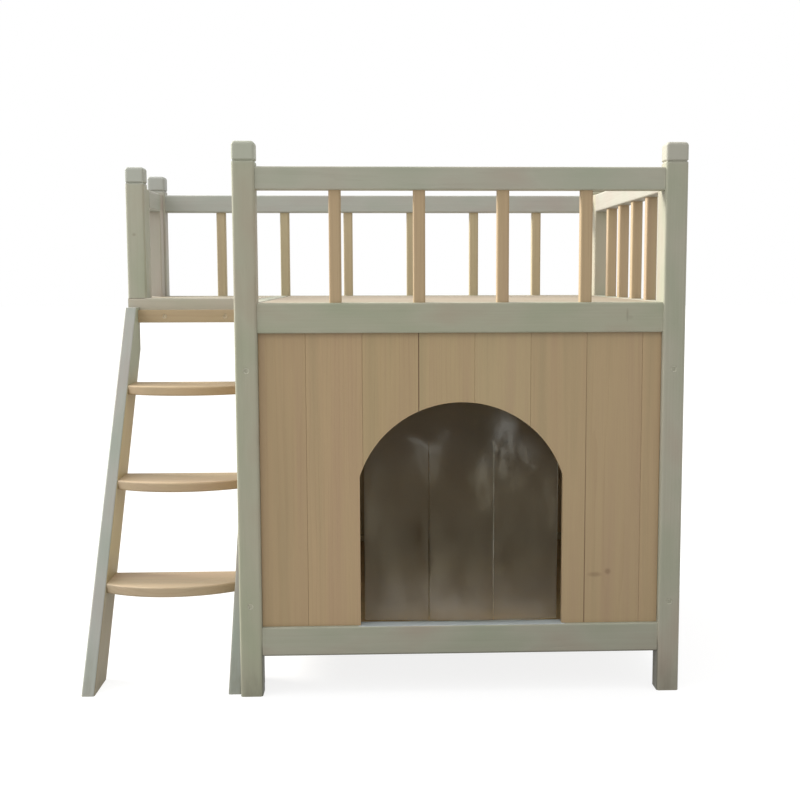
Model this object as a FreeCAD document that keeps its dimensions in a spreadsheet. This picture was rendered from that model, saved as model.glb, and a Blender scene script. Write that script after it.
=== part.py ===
import FreeCAD, Part
import math
import os
import re

import Sketcher

# Driving sizes: alias, value in millimetres (degrees for angles), what it measures.
SIZES = [
    ("house_width", 598, "box house over its posts, along X"),
    ("house_depth", 595, "front post face to back post face, along Y"),
    ("landing_width", 217, "landing beside the house, along X"),
    ("landing_depth", 214, "landing front face to the back of the house"),
    ("post_size", 30, "side of a square post"),
    ("post_round", 4, "rounded long edges of the posts"),
    ("cap_height", 25, "groove to the top of a post"),
    ("cap_round", 5, "rounded top edges of a post cap"),
    ("groove_depth", 2.2, "V groove under a post cap"),
    ("leg_height", 55, "ground to the underside of the bottom rails"),
    ("bottom_rail_height", 40, "height of the bottom rails"),
    ("deck_level", 532, "ground to the top of the deck rails"),
    ("deck_rail_height", 40, "height of the deck rails and landing beams"),
    ("railing_height", 177, "deck rail top to top rail top"),
    ("post_rise", 32.5, "top rail top to the top of the post caps"),
    ("top_rail_height", 30, "height of the top rails"),
    ("rail_thick", 24, "thickness of rails, beams and stiles"),
    ("rail_inset", 3, "post face to rail face"),
    ("rail_round", 2.5, "rounded long edges of rails and stiles"),
    ("stile_width", 30, "stile beside a post, along Y"),
    ("baluster_size", 16, "side of a square baluster"),
    ("baluster_round", 3, "rounded long edges of a baluster"),
    ("front_baluster_count", 4, "balusters over the front wall"),
    ("back_baluster_count", 6, "balusters along the back of deck and landing"),
    ("right_baluster_count", 4, "balusters over the right wall"),
    ("back_end_trim", 8, "wider even spacing of the back balusters, past each end post"),
    ("board_width", 75, "side, back, floor and deck board, seam to seam"),
    ("front_board_count", 4, "front boards each way from the seam over the doorway"),
    ("front_end_ratio", 0.34, "share of a front board left beside the right post"),
    ("seam_offset", 17.5, "doorway centre to the front seam right of it"),
    ("board_thick", 10, "wall board thickness"),
    ("board_inset", 8, "post face to board face"),
    ("board_gap", 0.1, "open seam between boards"),
    ("board_round", 0.6, "eased long edges of a board"),
    ("door_width", 274, "doorway between its straight sides"),
    ("lintel_height", 93, "crown of the arch to the deck rail"),
    ("arch_ease", 7, "arch radius beyond half the doorway's width"),
    ("door_offset", 1, "doorway centre right of the house centre"),
    ("deck_drop", 0.5, "deck rail top to deck surface"),
    ("deck_board_thick", 10, "deck and landing board thickness"),
    ("deck_gap", 1, "landing boards to the beams round them"),
    ("floor_drop", 10, "sill to floor surface"),
    ("floor_board_thick", 10, "floor board thickness"),
    ("cleat_width", 20, "width of a cleat or joist"),
    ("cleat_height", 15, "height of a cleat or joist"),
    ("ladder_lean", 33.85, "stringers from upright"),
    ("stringer_thick", 18, "plank thickness of a stringer"),
    ("stringer_depth", 60, "width of the stringer plank"),
    ("stringer_round", 2.5, "rounded long edges of a stringer"),
    ("stringer_drop", 15, "deck rail top to the top of the stringers"),
    ("stringer_top_flat", 24, "level top of a stringer, front to back"),
    ("step_count", 3, "steps that share the climb to the deck rail"),
    ("step_depth", 64, "step at its ends"),
    ("step_bulge", 27, "curved step front ahead of its ends"),
    ("step_thick", 14, "step thickness"),
    ("step_round", 2.5, "rounded curved edges of a step"),
    ("crossbar_height", 20, "bar between the stringer tops"),
    ("crossbar_thick", 12, "thickness of that bar"),
    ("crossbar_lift", 1, "beam underside to bar underside"),
    ("crossbar_screw_inset", 42, "bar end to its screw"),
    ("curtain_side_gap", 5.5, "doorway side to the edge of the clear sheet"),
    ("curtain_thick", 1.5, "clear sheet thickness"),
    ("curtain_lift", 3, "sill to the lower edge of the flaps"),
    ("slit_gap", 1.2, "open slit between flaps"),
    ("side_hinge_drop", 106, "crown of the arch to the bend line of the side flaps"),
    ("middle_hinge_drop", 54, "crown of the arch to the bend line of the middle flap"),
    ("hinge_gap", 0.3, "sheet above a bend line to the flap's rounded top"),
    ("header_overlap", 28, "crown of the arch to the top of the sheet"),
    ("batten_height", 20, "strip that clamps the sheet"),
    ("batten_thick", 12, "thickness of that strip"),
    ("batten_lift", 4, "crown of the arch to the strip"),
    ("batten_screw_inset", 31.5, "end of the strip to its outer screws"),
    ("screw_radius", 2, "screw shank"),
    ("screw_head_radius", 4, "countersunk head"),
    ("screw_head_depth", 2.5, "depth of the countersink"),
    ("screw_clearance", 0.15, "wood to screw"),
    ("frame_screw_bite", 20, "frame screw beyond the post, in the stile"),
    ("frame_screw_lift", 30, "sill to the lower frame screws"),
    ("frame_screw_drop", 49, "deck rail underside to the upper frame screws"),
    ("crossbar_screw_bite", 18, "crossbar screw beyond the bar, in the landing beam"),
    ("step_screw_bite", 25, "step screw beyond the stringer, in the step"),
    ("step_screw_inset", 16, "front and rear edge to a step screw"),
    ("batten_screw_bite", 6.5, "strip screw beyond the sheet, in the boards"),
]

doc = FreeCAD.newDocument("CatHouse")
sheet = doc.addObject("Spreadsheet::Sheet", "Sizes")
for row, (alias, value, meaning) in enumerate(SIZES, 1):
    sheet.set("A%d" % row, meaning)
    sheet.set("B%d" % row, str(value))
    sheet.setAlias("B%d" % row, alias)
doc.recompute()

aliases = {alias for alias, value, meaning in SIZES}
nodes = []

# Places shared by many pieces, as expressions of the sheet's cells.
outer_left = "(-(landing_width + house_width) / 2)"
left = "((landing_width - house_width) / 2)"
right = "((landing_width + house_width) / 2)"
front = "(-house_depth / 2)"
back = "(house_depth / 2)"
landing_front = "(house_depth / 2 - landing_depth)"
sill = "(leg_height + bottom_rail_height)"
deck_under = "(deck_level - deck_rail_height)"
rail_top = "(deck_level + railing_height)"
rail_under = "(deck_level + railing_height - top_rail_height)"
post_top = "(deck_level + railing_height + post_rise)"
rail_face = "(rail_inset + rail_thick)"
inner = "max(post_size; rail_inset + rail_thick)"
corner = "(%s + stile_width)" % inner

# Edges of a box that run along each axis, and its upper rim.
BOX_EDGES = {"x": (9, 10, 11, 12), "y": (2, 4, 6, 8), "z": (1, 3, 5, 7)}
BOX_RIM = (2, 6, 10, 12)

# Turns that point a cylinder or cone along an axis.
TURNS = {
    "+x": FreeCAD.Rotation(FreeCAD.Vector(0, 1, 0), 90),
    "-x": FreeCAD.Rotation(FreeCAD.Vector(0, 1, 0), -90),
    "+y": FreeCAD.Rotation(FreeCAD.Vector(1, 0, 0), -90),
    "-y": FreeCAD.Rotation(FreeCAD.Vector(1, 0, 0), 90),
}


def cells(text):
    """The expression with the sheet's name before each alias."""
    return re.sub(r"[a-z]\w*", lambda m: "Sizes." + m.group() if m.group() in aliases else m.group(), text)


def bind(obj, **sizes):
    for name, text in sizes.items():
        obj.setExpression(name, cells(text))
    return obj


def place(obj, at):
    for axis, text in zip("xyz", at):
        obj.setExpression("Placement.Base." + axis, cells(text))
    return obj


def node(name, obj):
    """Names a finished piece and keeps it for export."""
    obj.Label = name
    nodes.append(obj)
    return obj


def box(at, size):
    block = doc.addObject("Part::Box", "block")
    bind(block, Length=size[0], Width=size[1], Height=size[2])
    return place(block, at)


def boolean(kind, base, tool):
    joined = doc.addObject("Part::" + kind, kind.lower())
    joined.Base = base
    joined.Tool = tool
    return joined


def union(pieces):
    if len(pieces) == 1:
        return pieces[0]
    joined = doc.addObject("Part::MultiFuse", "union")
    joined.Shapes = pieces
    return joined


def group(pieces):
    """Separate like pieces that share one node."""
    together = doc.addObject("Part::Compound", "group")
    together.Links = pieces
    return together


def rounded(base, edges):
    """edges holds (edge number, radius) pairs."""
    eased = doc.addObject("Part::Fillet", "eased")
    eased.Base = base
    eased.Edges = [(number, radius, radius) for number, radius in edges]
    return eased


def timber(along, at, size, radius):
    """A straight stick with its long edges rounded."""
    return rounded(box(at, size), [(number, radius) for number in BOX_EDGES[along]])


def drilled(base, drills):
    return boolean("Cut", base, union(drills))


def extrusion(plane_role, outline, length, at, reverse=False):
    """A body padded from a closed outline of (across, up) expressions on one of its own planes."""
    body = doc.addObject("PartDesign::Body", "body")
    sketch = body.newObject("Sketcher::SketchObject", "outline")
    plane = [item for item in body.Origin.OriginFeatures if item.Role == plane_role][0]
    sketch.AttachmentSupport = (plane, [""])
    sketch.MapMode = "FlatFace"
    count = len(outline)
    turn = 2 * math.pi / count
    rough = [FreeCAD.Vector(math.cos(turn * k), math.sin(turn * k), 0) for k in range(count)]
    for k in range(count):
        sketch.addGeometry(Part.LineSegment(rough[k], rough[(k + 1) % count]))
    for k in range(count):
        sketch.addConstraint(Sketcher.Constraint("Coincident", k, 2, (k + 1) % count, 1))
    for k, point in enumerate(outline):
        for kind, text in zip(("DistanceX", "DistanceY"), point):
            number = sketch.addConstraint(Sketcher.Constraint(kind, -1, 1, k, 1, 1.0))
            sketch.setExpression("Constraints[%d]" % number, cells(text))
    pad = body.newObject("PartDesign::Pad", "pad")
    pad.Profile = sketch
    pad.Reversed = reverse
    bind(pad, Length=length)
    return place(body, at)


def pin(at, way, length, spare):
    """A countersunk solid of revolution with its head's face at a point; spare widens it all round."""
    radius = "screw_radius + " + spare
    shank = bind(doc.addObject("Part::Cylinder", "shank"), Radius=radius, Height=length + " + " + spare)
    head = doc.addObject("Part::Cone", "head")
    bind(head, Radius1="screw_head_radius + " + spare, Radius2=radius, Height="screw_head_depth")
    for part in (shank, head):
        part.Placement.Rotation = TURNS[way]
        place(part, at)
    return boolean("Fuse", shank, head)


def screw(at, way, length):
    """A screw and the drill that makes its hole."""
    return pin(at, way, length, "0"), pin(at, way, length, "screw_clearance")


def post(at, height):
    """A square post with a rounded cap above a V groove."""
    blank = box(at, ("post_size", "post_size", height))
    eased = rounded(blank, [(number, sheet.post_round) for number in BOX_EDGES["z"]]
                    + [(number, sheet.cap_round) for number in BOX_RIM])
    x, y, z = at
    level = "%s + %s - cap_height" % (z, height)
    side = "groove_depth * sqrt(2)"
    reach = "3 * post_size"
    cutters = []
    for face in ("0", "post_size"):
        across = box((x + " - post_size", "%s + %s" % (y, face), level + " - groove_depth"),
                     (reach, side, side))
        across.Placement.Rotation = FreeCAD.Rotation(FreeCAD.Vector(1, 0, 0), 45)
        along = box(("%s + %s - groove_depth" % (x, face), y + " - post_size", level), (side, reach, side))
        along.Placement.Rotation = FreeCAD.Rotation(FreeCAD.Vector(0, 1, 0), 45)
        cutters += [across, along]
    return boolean("Cut", eased, union(cutters))


def boards(counted, along, at, size, clear):
    """Equal boards that run along one axis and are counted on another, over a clear length in mm."""
    axis = "xyz".index(counted)
    count = max(1, round(clear / sheet.board_width))
    pitch = "(%s) / %d" % (size[axis], count)
    pieces = []
    for number in range(count):
        corner_at = list(at)
        corner_at[axis] = "%s + %s * %d + board_gap / 2" % (at[axis], pitch, number)
        board = list(size)
        board[axis] = pitch + " - board_gap"
        pieces.append(timber(along, corner_at, board, sheet.board_round))
    return group(pieces)


# Clear lengths between posts and between stiles.
span_x = "(house_width - 2 * post_size)"
inner_x = "(house_width - 2 * %s)" % inner
inner_y = "(house_depth - 2 * %s)" % inner
side_span = "(house_depth - 2 * %s)" % corner
long_span = "(landing_width + house_width - 2 * post_size)"
wall_rise = "(%s - %s)" % (deck_under, sill)
door_height = "(%s - lintel_height)" % wall_rise
post_right_x = right + " - post_size"
side_left_x = left + " + rail_inset"
side_right_x = "%s - %s" % (right, rail_face)
landing_side_x = outer_left + " + rail_inset"
back_rail_y = "%s - %s" % (back, rail_face)

# Frame screws: two through each house post into the stile behind it.
frame_screws = {}
for name, x, y, way in (("front_left", left, front, "+y"), ("front_right", post_right_x, front, "+y"),
                        ("back_left", left, back, "-y"), ("back_right", post_right_x, back, "-y")):
    frame_screws[name] = [screw((x + " + post_size / 2", y, level), way, "post_size + frame_screw_bite")
                          for level in (sill + " + frame_screw_lift", deck_under + " - frame_screw_drop")]
node("frame_screws", group([solid for pairs in frame_screws.values() for solid, drill in pairs]))


def corner_drills(name):
    return [drill for solid, drill in frame_screws[name]]


# Posts.
back_post_y = back + " - post_size"
node("front_left_post", drilled(post((left, front, "0"), post_top), corner_drills("front_left")))
node("front_right_post", drilled(post((post_right_x, front, "0"), post_top), corner_drills("front_right")))
node("back_right_post", drilled(post((post_right_x, back_post_y, "0"), post_top),
                                corner_drills("back_right")))
node("back_left_post", drilled(timber("z", (left, back_post_y, "0"), ("post_size", "post_size", deck_under),
                                      sheet.post_round), corner_drills("back_left")))
node("landing_back_post", post((outer_left, back_post_y, deck_under), "(%s - %s)" % (post_top, deck_under)))
node("landing_front_post", post((outer_left, landing_front, "deck_level"), "(%s - deck_level)" % post_top))


def stile(x, y, low, high):
    size = ("rail_thick", "stile_width", "%s - %s" % (high, low))
    return timber("z", (x, y, low), size, sheet.rail_round)


front_stile_y = "%s + %s" % (front, inner)
rear_stile_y = "%s - %s" % (back, corner)
node("right_front_stile", drilled(stile(side_right_x, front_stile_y, "leg_height", rail_top),
                                  corner_drills("front_right")))
node("right_rear_stile", drilled(stile(side_right_x, rear_stile_y, "leg_height", rail_top),
                                 corner_drills("back_right")))
node("left_front_stile", drilled(stile(side_left_x, front_stile_y, "0", "deck_level"),
                                 corner_drills("front_left")))
node("left_rear_stile", drilled(stile(side_left_x, rear_stile_y, "0", "deck_level"),
                                corner_drills("back_left")))
node("landing_front_stile", stile(landing_side_x, "%s + %s" % (landing_front, inner),
                                  "deck_level", rail_top))
node("landing_rear_stile", stile(landing_side_x, rear_stile_y, "deck_level", rail_top))


def rail(along, x, y, z, length, height):
    size = (length, "rail_thick", height) if along == "x" else ("rail_thick", length, height)
    return timber(along, (x, y, z), size, sheet.rail_round)


# Rails: top, deck and bottom of each side.
levels = (("top", rail_under, "top_rail_height"), ("deck", deck_under, "deck_rail_height"),
          ("bottom", "leg_height", "bottom_rail_height"))
side_rail_y = "%s + %s" % (front, corner)
for level, z, height in levels:
    node("front_%s_rail" % level, rail("x", left + " + post_size", front + " + rail_inset", z,
                                       span_x, height))
    if level == "bottom":
        back_x, back_length = left + " + post_size", span_x
    else:
        back_x, back_length = outer_left + " + post_size", long_span
    node("back_%s_rail" % level, rail("x", back_x, back_rail_y, z, back_length, height))
    node("right_%s_rail" % level, rail("y", side_right_x, side_rail_y, z, side_span, height))
    if level != "top":
        node("left_%s_rail" % level, rail("y", side_left_x, side_rail_y, z, side_span, height))

# Landing frame.
landing_run = "(landing_depth - rail_thick - %s)" % inner
beam_screw_y = landing_front + " - crossbar_thick"
beam_screw_z = deck_under + " + crossbar_lift + crossbar_height / 2"
crossbar_screws = [screw((x, beam_screw_y, beam_screw_z), "+y", "crossbar_thick + crossbar_screw_bite")
                   for x in (outer_left + " + stringer_thick + crossbar_screw_inset",
                             left + " - stringer_thick - crossbar_screw_inset")]
crossbar_drills = [drill for solid, drill in crossbar_screws]
node("landing_front_beam", drilled(rail("x", outer_left, landing_front, deck_under,
                                        "landing_width + rail_inset", "deck_rail_height"), crossbar_drills))
node("landing_side_beam", rail("y", landing_side_x, landing_front + " + rail_thick", deck_under,
                               landing_run, "deck_rail_height"))
node("landing_side_rail", rail("y", landing_side_x, "%s + %s" % (landing_front, corner), rail_under,
                               "landing_depth - 2 * %s" % corner, "top_rail_height"))


def balusters(along, at, clear, count):
    """Evenly spaced balusters between two ends of a railing."""
    axis = "xyz".index(along)
    gap = "((%s - %d * baluster_size) / %d)" % (clear, count, count + 1)
    pieces = []
    for number in range(count):
        foot = list(at)
        foot[axis] = "%s + %s * %d + baluster_size * %d" % (at[axis], gap, number + 1, number)
        rise = "%s - deck_level" % rail_under
        pieces.append(timber("z", foot, ("baluster_size", "baluster_size", rise), sheet.baluster_round))
    return group(pieces)


inside_rail = "(rail_thick - baluster_size) / 2"
node("front_balusters", balusters("x", (left + " + post_size", front + " + rail_inset + " + inside_rail,
                                        "deck_level"), span_x, round(sheet.front_baluster_count)))
node("back_balusters", balusters("x", (outer_left + " + post_size - back_end_trim",
                                       back_rail_y + " + " + inside_rail, "deck_level"),
                                 "(%s + 2 * back_end_trim)" % long_span, round(sheet.back_baluster_count)))
node("right_balusters", balusters("y", (side_right_x + " + " + inside_rail, side_rail_y, "deck_level"),
                                  side_span, round(sheet.right_baluster_count)))

# Doorway cutter: straight sides under a round arch, and the pilot holes of the curtain strip.
door_x = "(landing_width / 2 + door_offset)"
board_y = front + " + board_inset"
sheet_y = board_y + " + board_thick"
cutter_y = board_y + " - board_thick"
cutter_deep = "3 * board_thick"
arch_radius = "(door_width / 2 + arch_ease)"
arch_centre = "(%s - %s)" % (door_height, arch_radius)
arch = bind(doc.addObject("Part::Cylinder", "arch"), Radius=arch_radius, Height=cutter_deep)
arch.Placement.Rotation = TURNS["+y"]
place(arch, (door_x, cutter_y, "%s + %s" % (sill, arch_centre)))
below_sill = "bottom_rail_height"
door_start = (door_x + " - door_width / 2", cutter_y, sill + " - " + below_sill)
upright = box(door_start, ("door_width", cutter_deep, "%s + %s" % (arch_centre, below_sill)))
whole = box(door_start, ("door_width", cutter_deep, "%s + %s" % (door_height, below_sill)))
doorway = boolean("Common", whole, boolean("Fuse", arch, upright))

curtain_width = "(door_width - 2 * curtain_side_gap)"
batten_z = "%s + %s + batten_lift" % (sill, door_height)
batten_y = sheet_y + " + curtain_thick"
screw_reach = "(%s / 2 - batten_screw_inset)" % curtain_width
curtain_screws = [screw(("%s + %s * %d" % (door_x, screw_reach, step), batten_y + " + batten_thick",
                         batten_z + " + batten_height / 2"), "-y",
                        "batten_thick + curtain_thick + batten_screw_bite") for step in (-1, 0, 1)]
curtain_drills = [drill for solid, drill in curtain_screws]
node("curtain_screws", group([solid for solid, drill in curtain_screws]))
door_cutter = union([doorway] + curtain_drills)

# Front wall: equal boards each way from the seam over the doorway, the last one cut to fit beside each post.
front_count = round(sheet.front_board_count)
clear_left = "(%s / 2 + door_offset + seam_offset)" % span_x
clear_right = "(%s / 2 - door_offset - seam_offset)" % span_x
front_pitch = "(%s / (front_board_count - 1 + front_end_ratio))" % clear_right
for side, clear in (("left", clear_left), ("right", clear_right)):
    for number in range(1, front_count + 1):
        reach = "%s * %d" % (front_pitch, number - 1)
        width = front_pitch if number < front_count else "(%s - %s)" % (clear, reach)
        start = "%s + seam_offset + %s" % (door_x, reach)
        if side == "left":
            start = "%s + seam_offset - %s - %s" % (door_x, reach, width)
        board = timber("z", (start + " + board_gap / 2", board_y, sill),
                       (width + " - board_gap", "board_thick", wall_rise), sheet.board_round)
        node("front_board_%s_%d" % (side, number), boolean("Cut", board, door_cutter))

# Other walls, floor, deck and landing boards.
inner_margin = max(sheet.post_size, sheet.rail_inset + sheet.rail_thick)
clear_front = sheet.house_width - 2 * sheet.post_size
clear_sides = sheet.house_depth - 2 * (inner_margin + sheet.stile_width)
clear_depth = sheet.house_depth - 2 * inner_margin
side_wall = ("board_thick", side_span, wall_rise)
node("right_wall_boards", boards("y", "z", (right + " - board_inset - board_thick", side_rail_y, sill),
                                 side_wall, clear_sides))
node("left_wall_boards", boards("y", "z", (left + " + board_inset", side_rail_y, sill),
                                side_wall, clear_sides))
back_wall_y = back + " - board_inset - board_thick"
node("back_wall_boards", boards("x", "z", (left + " + post_size", back_wall_y, sill),
                                (span_x, "board_thick", wall_rise), clear_front))
deck_z = "(deck_level - deck_drop - deck_board_thick)"
floor_z = "(%s - floor_drop - floor_board_thick)" % sill
inner_corner = ("%s + %s" % (left, inner), "%s + %s" % (front, inner))
node("deck_boards", boards("y", "x", inner_corner + (deck_z,), (inner_x, inner_y, "deck_board_thick"),
                           clear_depth))
node("floor_boards", boards("y", "x", inner_corner + (floor_z,), (inner_x, inner_y, "floor_board_thick"),
                            clear_depth))
landing_boards_y = landing_front + " + rail_thick"
landing_boards_x = "%s + %s" % (outer_left, rail_face)
landing_clear = sheet.landing_depth - sheet.rail_thick - inner_margin
node("landing_boards", boards("y", "x", (landing_boards_x + " + deck_gap", landing_boards_y + " + deck_gap",
                                         deck_z),
                              ("landing_width - rail_thick - 2 * deck_gap", landing_run + " - 2 * deck_gap",
                               "deck_board_thick"), landing_clear))


def cleat(x, y, top, length):
    """A support that runs along Y, under boards whose underside is at top."""
    return timber("y", (x, y, top + " - cleat_height"), ("cleat_width", length, "cleat_height"),
                  sheet.board_round)


def cleats(top):
    """Two on the side rails and one joist in the middle, from front rail to back rail."""
    joist = cleat("landing_width / 2 - cleat_width / 2", "%s + %s" % (front, rail_face), top,
                  "house_depth - 2 * %s" % rail_face)
    return [cleat("%s + %s" % (left, rail_face), side_rail_y, top, side_span),
            cleat("%s - %s - cleat_width" % (right, rail_face), side_rail_y, top, side_span), joist]


node("floor_cleats", group(cleats(floor_z)))
node("deck_cleats", group(cleats(deck_z) + [
    cleat(landing_boards_x, landing_boards_y, deck_z, landing_run),
    cleat(left + " + rail_inset - cleat_width", landing_boards_y, deck_z, landing_run)]))

# Ladder: plank stringers with level feet and a plumb cut against the landing beam.
lean_run = "tan(ladder_lean)"
plank_run = "(stringer_depth / cos(ladder_lean))"
stringer_top = "(deck_level - stringer_drop)"
foot_y = "(%s - stringer_top_flat - %s * %s)" % (landing_front, stringer_top, lean_run)
stringer_outline = [
    (foot_y, "0"),
    ("%s + %s" % (foot_y, plank_run), "0"),
    (landing_front, "%s - (%s - stringer_top_flat) / %s" % (stringer_top, plank_run, lean_run)),
    (landing_front, stringer_top),
    (landing_front + " - stringer_top_flat", stringer_top),
]
step_length = "(landing_width - 2 * stringer_thick)"
step_left = outer_left + " + stringer_thick"
ladder_screws = []
stringer_drills = {"left": [], "right": []}
steps = round(sheet.step_count)
rear_edge = "min(step_depth; %s)" % plank_run
for number in range(1, steps + 1):
    top = "deck_level * %d / %d" % (number, steps + 1)
    end_y = "(%s + %s * %s)" % (foot_y, top, lean_run)
    drills = []
    for side, x, way in (("left", outer_left, "+x"), ("right", left, "-x")):
        for y in (end_y + " + step_screw_inset", "%s + %s - step_screw_inset" % (end_y, rear_edge)):
            solid, drill = screw((x, y, top + " - step_thick / 2"), way, "stringer_thick + step_screw_bite")
            ladder_screws.append(solid)
            stringer_drills[side].append(drill)
            drills.append(drill)
    curve = "((%s ^ 2 / 4 + step_bulge ^ 2) / (2 * step_bulge))" % step_length
    slab_at = (step_left, end_y + " - step_bulge", top + " - step_thick")
    slab = box(slab_at, (step_length, "step_depth + step_bulge", "step_thick"))
    nose = bind(doc.addObject("Part::Cylinder", "nose"), Radius=curve, Height="step_thick")
    place(nose, ("%s + %s / 2" % (step_left, step_length), "%s + %s" % (slab_at[1], curve), slab_at[2]))
    tread = boolean("Common", slab, nose)
    doc.recompute()
    curved = [index for index, edge in enumerate(tread.Shape.Edges, 1)
              if isinstance(edge.Curve, Part.Circle)]
    eased = rounded(tread, [(index, sheet.step_round) for index in curved])
    node("ladder_step_%d" % number, drilled(eased, drills))

for side, x in (("left", outer_left), ("right", left + " - stringer_thick")):
    plank = extrusion("YZ_Plane", stringer_outline, "stringer_thick", (x, "0", "0"))
    doc.recompute()
    lean = math.radians(sheet.ladder_lean)
    slope = FreeCAD.Vector(0, math.sin(lean), math.cos(lean))
    sloping = [index for index, edge in enumerate(plank.Shape.Edges, 1)
               if abs(edge.tangentAt(edge.FirstParameter).dot(slope)) > 0.999]
    eased = rounded(plank, [(index, sheet.stringer_round) for index in sloping])
    node("ladder_%s_stringer" % side, drilled(eased, stringer_drills[side]))

crossbar = timber("x", (step_left, beam_screw_y, deck_under + " + crossbar_lift"),
                  (step_length, "crossbar_thick", "crossbar_height"), sheet.board_round)
node("ladder_crossbar", drilled(crossbar, crossbar_drills))
node("ladder_screws", group(ladder_screws + [solid for solid, drill in crossbar_screws]))

# Curtain: a clear sheet held by a strip above the door, its three flaps bending below it.
flap_width = "((%s - 2 * slit_gap) / 3)" % curtain_width
curtain_x = "%s - %s / 2" % (door_x, curtain_width)
axis_y = sheet_y + " + curtain_thick / 2"
side_hinge = "(%s - side_hinge_drop)" % door_height
middle_hinge = "(%s - middle_hinge_drop)" % door_height
hinges = {"left": side_hinge, "middle": middle_hinge, "right": side_hinge}
for number, (side, hinge) in enumerate(hinges.items()):
    flap_at = ("%s + (%s + slit_gap) * %d" % (curtain_x, flap_width, number), sheet_y,
               sill + " + curtain_lift")
    leaf = box(flap_at, (flap_width, "curtain_thick", hinge + " - curtain_lift"))
    bead = bind(doc.addObject("Part::Cylinder", "bead"), Radius="curtain_thick / 2", Height=flap_width)
    bead.Placement.Rotation = TURNS["+x"]
    place(bead, (flap_at[0], axis_y, "%s + %s" % (sill, hinge)))
    node("curtain_flap_" + side, boolean("Fuse", leaf, bead))

above_hinge = "curtain_thick / 2 + hinge_gap"
side_low = "%s + %s" % (side_hinge, above_hinge)
middle_low = "%s + %s" % (middle_hinge, above_hinge)
header_top = door_height + " + header_overlap"
notch = (flap_width, flap_width + " * 2 + slit_gap * 2")
header_outline = [("0", side_low), (notch[0], side_low), (notch[0], middle_low), (notch[1], middle_low),
                  (notch[1], side_low), (curtain_width, side_low), (curtain_width, header_top),
                  ("0", header_top)]
header = extrusion("XZ_Plane", header_outline, "curtain_thick", (curtain_x, sheet_y, sill), reverse=True)
node("curtain_header", drilled(header, curtain_drills))
strip = timber("x", (curtain_x, batten_y, batten_z), (curtain_width, "batten_thick", "batten_height"),
               sheet.board_round)
node("curtain_batten", drilled(strip, curtain_drills))

doc.recompute()
for obj in doc.Objects:
    if "Invalid" in obj.State or "Error" in obj.State:
        raise RuntimeError("%s did not recompute: %s" % (obj.Label, obj.State))
for piece in nodes:
    if piece.Shape.isNull() or not piece.Shape.isValid() or not piece.Shape.Solids:
        raise RuntimeError("%s has no valid solid" % piece.Label)

os.makedirs("parts", exist_ok=True)
for piece in nodes:
    piece.Shape.exportStep(os.path.join("parts", piece.Label + ".step"))
print("%d pieces, %d solids" % (len(nodes), sum(len(piece.Shape.Solids) for piece in nodes)))
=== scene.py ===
import math
import random
import bpy
from mathutils import Euler, Matrix, Vector


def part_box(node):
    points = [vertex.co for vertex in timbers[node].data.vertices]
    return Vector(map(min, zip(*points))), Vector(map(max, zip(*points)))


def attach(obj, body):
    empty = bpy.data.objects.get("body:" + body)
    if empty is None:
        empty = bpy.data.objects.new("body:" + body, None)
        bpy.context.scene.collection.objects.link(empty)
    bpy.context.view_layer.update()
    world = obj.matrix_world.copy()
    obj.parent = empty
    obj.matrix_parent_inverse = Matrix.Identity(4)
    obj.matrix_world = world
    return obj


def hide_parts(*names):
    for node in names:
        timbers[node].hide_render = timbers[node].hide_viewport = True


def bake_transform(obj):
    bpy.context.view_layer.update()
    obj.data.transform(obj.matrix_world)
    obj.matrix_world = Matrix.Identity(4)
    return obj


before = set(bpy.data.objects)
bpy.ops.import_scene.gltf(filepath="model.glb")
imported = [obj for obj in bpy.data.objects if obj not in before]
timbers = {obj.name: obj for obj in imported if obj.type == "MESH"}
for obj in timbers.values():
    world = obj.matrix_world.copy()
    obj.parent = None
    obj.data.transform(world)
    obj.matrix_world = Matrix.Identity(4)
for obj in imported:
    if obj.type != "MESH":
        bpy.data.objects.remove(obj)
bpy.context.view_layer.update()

dice = random.Random(11)
print("loaded", len(timbers), "pieces of the cat house")

# view
photoView = {
    "place": (0.00381, -1.85984, 0.56744),
    "yaw": 0.0402, "pitch": 0.1047, "roll": -0.0017,  # radians
    "film": 36, "lens": 53.277, "shiftX": -0.0375,
}


def addCamera():
    bpy.ops.object.camera_add(location=photoView["place"])
    camera = bpy.context.object
    camera.name = "photoCamera"
    camera.data.sensor_fit = "HORIZONTAL"
    camera.data.sensor_width = photoView["film"]
    camera.data.lens = photoView["lens"]
    camera.data.shift_x = photoView["shiftX"]
    turn = Euler((math.pi / 2 - photoView["pitch"], 0, -photoView["yaw"])).to_matrix()
    camera.rotation_euler = (turn @ Matrix.Rotation(photoView["roll"], 3, "Z")).to_euler()
    bpy.context.scene.camera = camera


addCamera()
bpy.context.scene.view_settings.view_transform = "Standard"
print("camera set")


# node helpers
def toLinear(red, green, blue):
    shares = [channel / 255 for channel in (red, green, blue)]
    return tuple(s / 12.92 if s <= 0.04045 else ((s + 0.055) / 1.055) ** 2.4 for s in shares) + (1.0,)


def addNode(tree, kind, inputs, **settings):
    made = tree.nodes.new("ShaderNode" + kind)
    for name, value in settings.items():
        setattr(made, name, value)
    for socket, value in inputs.items():
        if isinstance(value, bpy.types.NodeSocket):
            tree.links.new(value, made.inputs[socket])
        else:
            made.inputs[socket].default_value = value
    return made


def sums(tree, operation, first, second=0.0, third=0.0, clamp=False):
    values = {0: first, 1: second, 2: third}
    return addNode(tree, "Math", values, operation=operation, use_clamp=clamp).outputs[0]


def plus(tree, first, second, clamp=False):
    return sums(tree, "ADD", first, second, clamp=clamp)


def minus(tree, first, second, clamp=False):
    return sums(tree, "SUBTRACT", first, second, clamp=clamp)


def times(tree, first, second):
    return sums(tree, "MULTIPLY", first, second)


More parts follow.
